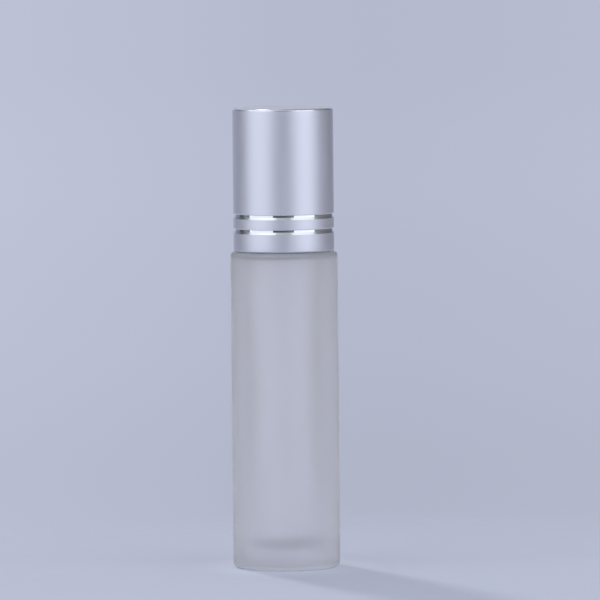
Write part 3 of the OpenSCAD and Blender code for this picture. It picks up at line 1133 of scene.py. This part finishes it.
@dataclass(frozen=True)
class SoftLamp:
    """A soft studio lamp that faces the bottle.

    Attributes:
        name: Name of the lamp.
        azimuth: Where it stands, in degrees from the camera's side towards +X.
        elevation: How far its middle is above the horizon, in degrees.
        distance: Metres from the bottle.
        width: Its width in metres.
        height: Its height in metres.
        level: How bright its face is, where 1 is white.
        colour: Its colour.
        round_face: Whether it is a disc.
        glossy: Whether it shows in glossy reflections.
        diffuse: Whether it lights matt surfaces.
    """

    name: str
    azimuth: float
    elevation: float
    distance: float
    width: float
    height: float
    level: float
    colour: Colour = SKY
    round_face: bool = False
    glossy: bool = True
    diffuse: bool = True

    def place(self, aim: Vector) -> None:
        """Sets the lamp up.

        Args:
            aim: The point that it faces.
        """
        lamp = bpy.data.lights.new(self.name, "AREA")
        lamp.shape = "ELLIPSE" if self.round_face else "RECTANGLE"
        lamp.size, lamp.size_y = self.width, self.height
        face = self.width * self.height * (math.pi / 4 if self.round_face else 1.0)
        lamp.energy = self.level * math.pi * face
        lamp.color = self.colour
        turn, rise = math.radians(self.azimuth), math.radians(self.elevation)
        flat = math.cos(rise)
        towards = Vector((math.sin(turn) * flat, -math.cos(turn) * flat, math.sin(rise)))
        stand = linked(self.name, lamp)
        stand.location = aim + towards * self.distance
        stand.rotation_euler = (-towards).to_track_quat("-Z", "Y").to_euler()
        stand.visible_camera = False
        stand.visible_transmission = not self.round_face
        stand.visible_glossy = self.glossy
        stand.visible_diffuse = self.diffuse


BACKDROP: Colour = (0.468, 0.497, 0.624)
DARK_WALL: Colour = (0.08, 0.082, 0.09)
DIM_WALL: Colour = (0.09, 0.092, 0.1)
GREY_WALL: Colour = (0.21, 0.215, 0.23)
FAR_WALL: Colour = (0.24, 0.248, 0.3)
# The walls in reflections, by degrees from the camera's side towards +X
WALLS: tuple[tuple[float, Colour], ...] = (
    (-180, BACKDROP), (-150, BACKDROP), (-146, FAR_WALL), (-129, FAR_WALL), (-120, DARK_WALL),
    (-109, DARK_WALL), (-103, GREY_WALL), (-83, GREY_WALL), (-76, DIM_WALL), (2, DIM_WALL),
    (22, (0.2, 0.204, 0.22)), (78, (0.28, 0.275, 0.3)), (86, (0.22, 0.215, 0.23)),
    (122, (0.15, 0.148, 0.16)), (150, (0.15, 0.148, 0.17)), (157, BACKDROP),
)
# How bright the ceiling is in reflections, by the same degrees
CEILING: Levels = (
    (-180, 0.36), (-135, 0.53), (-112, 0.75), (-75, 0.68), (-58, 0.66), (-55, 0.8), (-51, 0.8),
    (-48, 0.66), (-30, 0.64), (8, 0.6), (20, 0.5), (85, 0.42), (118, 0.34), (150, 0.24), (170, 0.3),
)
# How much of the sides, and not of the backdrop, shows through glass, by the same degrees
SIDES: Levels = ((-180, 0), (-140, 0), (-110, 1), (110, 1), (140, 0))
# The backdrop's lightness from low to high and from left to right, over shares of two spans: how
# far up and how far to the right a direction points
RISE_SPAN: Point = (-0.11, -0.04)
ACROSS_SPAN: Point = (-0.05, 0.05)
RISE: Levels = (
    (0.0, 0.965), (0.14, 0.94), (0.24, 0.94), (0.33, 0.951), (0.47, 0.974), (0.61, 0.987),
    (0.74, 1.0),
)
ACROSS: Levels = ((0.0, 1.09), (0.3, 1.045), (0.55, 0.995), (0.8, 1.0))
# How far up its last fall starts and ends, and its lightness at the end
TOP_SPAN: Point = (-0.05, -0.03)
TOP_LEVEL = 0.965


@dataclass
class Studio:
    """A pale seamless floor, two softboxes in front, a small key behind and a soft ambience.

    Walls and ceiling show only in reflections. The key isn't seen in them: the wider and dimmer
    glint takes its place there.

    Attributes:
        aim: The point that the lamps face.
        lamps: The lamps.
        floor_colour: Colour of the paper on the floor.
        floor_grain: Noise of the paper.
        floor_low: Lightness of the paper's darker grains.
        floor_seen: The floor further out, in reflections.
        ambience: The light from all round on matt surfaces.
        aside: What shows through the glass at the sides.
        ceiling: Colour of the ceiling where its level is 1.
        glow: Strength of the painted pool of light on the floor, for light the glass passes on.
        glow_colour: Colour of that light.
        glow_reach: Metres from the bottle's axis where it starts to fall off and where it ends.
        floor_r: Radius of the floor in metres.
        floor_cuts: Rings and columns of its mesh.
        fade: Metres from the floor's middle where it starts to fade and where it is clear.
        middle: The floor's middle, a little in front of the bottle.
        ceiling_rise: How far up a direction points where the walls end and the ceiling starts.
        floor_rise: How far up a direction points where the floor ends and the walls start.
    """

    aim: Vector = field(default_factory=lambda: Vector((0.0, 0.0, 0.043)))
    lamps: tuple[SoftLamp, ...] = (
        SoftLamp("softbox_left", -55.0, 15.0, 0.9, 1.1, 0.84, 0.9),
        SoftLamp("softbox_right", 50.0, 15.0, 0.9, 0.92, 0.84, 0.9),
        SoftLamp("key_behind", -152.8, 54.0, 1.3, 0.136, 0.136, 58.8, SUN, True, glossy=False),
        SoftLamp("glint", -160.0, 54.0, 1.3, 0.19, 0.19, 12.2, SUN, True, diffuse=False),
    )
    floor_colour: Colour = (0.7, 0.738, 0.905)
    floor_grain: Grain = Grain(1.5, 3.0)
    floor_low: float = 0.985
    floor_seen: Colour = (0.5, 0.53, 0.652)
    ambience: Colour = (0.4585, 0.4655, 0.476)
    aside: Colour = (0.32, 0.32, 0.335)
    ceiling: Colour = (0.95, 0.97, 1.04)
    glow: float = 0.15
    glow_colour: Colour = (0.93, 0.96, 1.0)
    glow_reach: Point = (0.006, 0.022)
    floor_r: float = 0.2
    floor_cuts: tuple[int, int] = (30, 96)
    fade: Point = (0.075, 0.16)
    middle: Point = (0.02, -0.06)
    ceiling_rise: Point = (0.3, 0.5)
    floor_rise: Point = (-0.3, -0.14)

    def build(self) -> None:
        """Sets up the floor, the lamps and the surroundings."""
        self._floor()
        for lamp in self.lamps:
            lamp.place(self.aim)
            LOG.info("%s: set up", lamp.name)
        self._surroundings()

    def _floor(self) -> None:
        """Lays the round floor."""
        count, columns = self.floor_cuts
        rings = np.linspace(0, self.floor_r, count)
        vertices = [(*self.middle, 0.0)]
        vertices += [
            (self.middle[0] + r * math.cos(a), self.middle[1] + r * math.sin(a), 0.0)
            for r in rings[1:]
            for a in even_columns(columns)
        ]
        faces: list[tuple[int, ...]] = []
        for k in range(columns):
            n = (k + 1) % columns
            faces.append((0, 1 + k, 1 + n))
            for inner in range(1, 1 + (count - 2) * columns, columns):
                outer = inner + columns
                faces.append((inner + k, outer + k, outer + n, inner + n))
        mesh = bpy.data.meshes.new("studio_floor")
        mesh.from_pydata(vertices, [], faces)
        floor = linked("studio_floor", mesh)
        mesh.materials.append(self._floor_material())

    def _floor_material(self) -> bpy.types.Material:
        """Makes the matt paper of the floor, with a painted pool of light, clear towards its edge.
        """
        paper = bpy.data.materials.new("studio_paper")
        sheet = Sheet.fresh(paper)
        clear = sheet.between(self._reach(sheet, self.middle), 0.0, 1.0, *self.fade)
        low = tuple(self.floor_low * c for c in self.floor_colour)
        colour = sheet.blend(sheet.noise(self.floor_grain), low, self.floor_colour)
        matt = sheet.add("ShaderNodeBsdfDiffuse", {"Color": colour})
        # Painted light: an emission pool on the paper round the bottle, for the light through the
        # glass
        near = sheet.between(self._reach(sheet, (0.0, 0.0)), 1.0, 0.0, *self.glow_reach)
        spill = sheet.math("MULTIPLY", sheet.math("POWER", near, 2.0), self.glow)
        values = {"Color": (*self.glow_colour, 1.0), "Strength": spill}
        painted_glow = sheet.add("ShaderNodeEmission", values)
        lit = sheet.add("ShaderNodeAddShader", {0: matt.outputs[0], 1: painted_glow.outputs[0]})
        nothing = sheet.add("ShaderNodeBsdfTransparent")
        values = {0: clear, 1: lit.outputs[0], 2: nothing.outputs[0]}
        mixed = sheet.add("ShaderNodeMixShader", values)
        sheet.add("ShaderNodeOutputMaterial", {"Surface": mixed.outputs[0]})
        return paper

    @staticmethod
    def _reach(sheet: Sheet, middle: Point) -> Socket:
        """Gives the distance on the floor from a point, in metres."""
        values = {0: sheet.place(), 1: (*middle, 0.0)}
        return sheet.add("ShaderNodeVectorMath", values, operation="DISTANCE").outputs["Value"]

    def _surroundings(self) -> None:
        """Sets the world: backdrop where it is seen, a studio in reflections, soft light else."""
        world = bpy.data.worlds.new("studio_room")
        bpy.context.scene.world = world
        sheet = Sheet.fresh(world)
        towards = sheet.add("ShaderNodeTexCoord").outputs["Generated"]
        axes = sheet.add("ShaderNodeSeparateXYZ", {"Vector": towards})
        x, y, z = (axes.outputs[name] for name in "XYZ")
        turn = sheet.math("ARCTAN2", x, sheet.math("MULTIPLY", y, -1.0))
        share = sheet.math("MULTIPLY_ADD", turn, 0.5 / math.pi, 0.5)
        overhead = [(a, tuple(level * c for c in self.ceiling)) for a, level in CEILING]
        high = sheet.between(z, 0.0, 1.0, *self.ceiling_rise)
        low = sheet.between(z, 1.0, 0.0, *self.floor_rise)
        room = self._round_about(sheet, share, WALLS)
        room = sheet.mix(high, room, self._round_about(sheet, share, overhead))
        room = sheet.mix(low, room, self.floor_seen)
        path = sheet.add("ShaderNodeLightPath").outputs
        colour = sheet.mix(path["Is Glossy Ray"], self.ambience, room)
        backdrop = self._backdrop(sheet, x, z)
        colour = sheet.mix(path["Is Camera Ray"], colour, backdrop)
        sides = self._round_about(sheet, share, [(a, (b, b, b)) for a, b in SIDES])
        through = sheet.mix(sides, backdrop, self.aside)
        colour = sheet.mix(path["Is Transmission Ray"], colour, through)
        light = sheet.add("ShaderNodeBackground", {"Color": colour, "Strength": 1.0})
        sheet.add("ShaderNodeOutputWorld", {"Surface": light.outputs[0]})

    @staticmethod
    def _backdrop(sheet: Sheet, across: Socket, up: Socket) -> Socket:
        """Shades the seamless paper: a little lighter to the left, darker low down.

        Args:
            sheet: The world's node sheet.
            across: How far the direction points to the right.
            up: How far it points up.

        Returns:
            The paper's colour.
        """
        rise = sheet.curve(sheet.between(up, 0.0, 1.0, *RISE_SPAN), RISE)
        side = sheet.curve(sheet.between(across, 0.0, 1.0, *ACROSS_SPAN), ACROSS)
        top = sheet.between(up, 1.0, TOP_LEVEL, *TOP_SPAN)
        level = sheet.math("MULTIPLY", sheet.math("MULTIPLY", rise, side), top)
        return sheet.scaled(BACKDROP, level)

    @staticmethod
    def _round_about(sheet: Sheet, share: Socket, stops: Sequence[tuple[float, Colour]]) -> Socket:
        """Lays out colours round the room, by degrees from the camera's side.

        Args:
            sheet: The world's node sheet.
            share: The share of a whole turn, which starts and ends behind the bottle.
            stops: Degrees and colour of each stop.

        Returns:
            The colour.
        """
        return sheet.ramp(share, [((degrees + 180) / 360, colour) for degrees, colour in stops])


@dataclass(frozen=True)
class PhotoCamera:
    """The camera at the photograph's viewing angle."""

    place: tuple[float, float, float] = (0.0, -1.15, 0.128)
    yaw: float = 0.1455
    pitch: float = 3.878
    roll: float = -0.55
    lens: float = 369.33
    sensor: float = 36.0
    clip: Point = (0.01, 20.0)

    def build(self) -> None:
        """Sets the camera up and makes it the scene's own."""
        yaw, pitch, roll = (math.radians(a) for a in (self.yaw, self.pitch, self.roll))
        ahead = Vector(
            (math.sin(yaw) * math.cos(pitch), math.cos(yaw) * math.cos(pitch), -math.sin(pitch))
        )
        right = Vector((math.cos(yaw), -math.sin(yaw), 0.0))
        up = right.cross(ahead)
        turned_right = right * math.cos(roll) + up * math.sin(roll)
        turned_up = up * math.cos(roll) - right * math.sin(roll)
        lens = bpy.data.cameras.new("photo_camera")
        lens.lens, lens.sensor_width, lens.sensor_fit = self.lens, self.sensor, "HORIZONTAL"
        lens.clip_start, lens.clip_end = self.clip
        lens.dof.use_dof = False
        camera = linked("photo_camera", lens)
        axes = Matrix((turned_right, turned_up, -ahead)).transposed().to_4x4()
        camera.matrix_world = Matrix.Translation(self.place) @ axes
        bpy.context.scene.camera = camera


def main() -> None:
    """Builds the camera, the studio and every piece of the bottle, in order."""
    logging.basicConfig(level=logging.INFO, format="%(name)s: %(message)s")
    bpy.context.scene.view_settings.view_transform = "Standard"
    PhotoCamera().build()
    Studio().build()
    for kind in (GlassBottle, RollerHousing, RollerBall, SealPad, CapLiner, CapShell):
        kind().place()


if __name__ == "__main__":
    main()
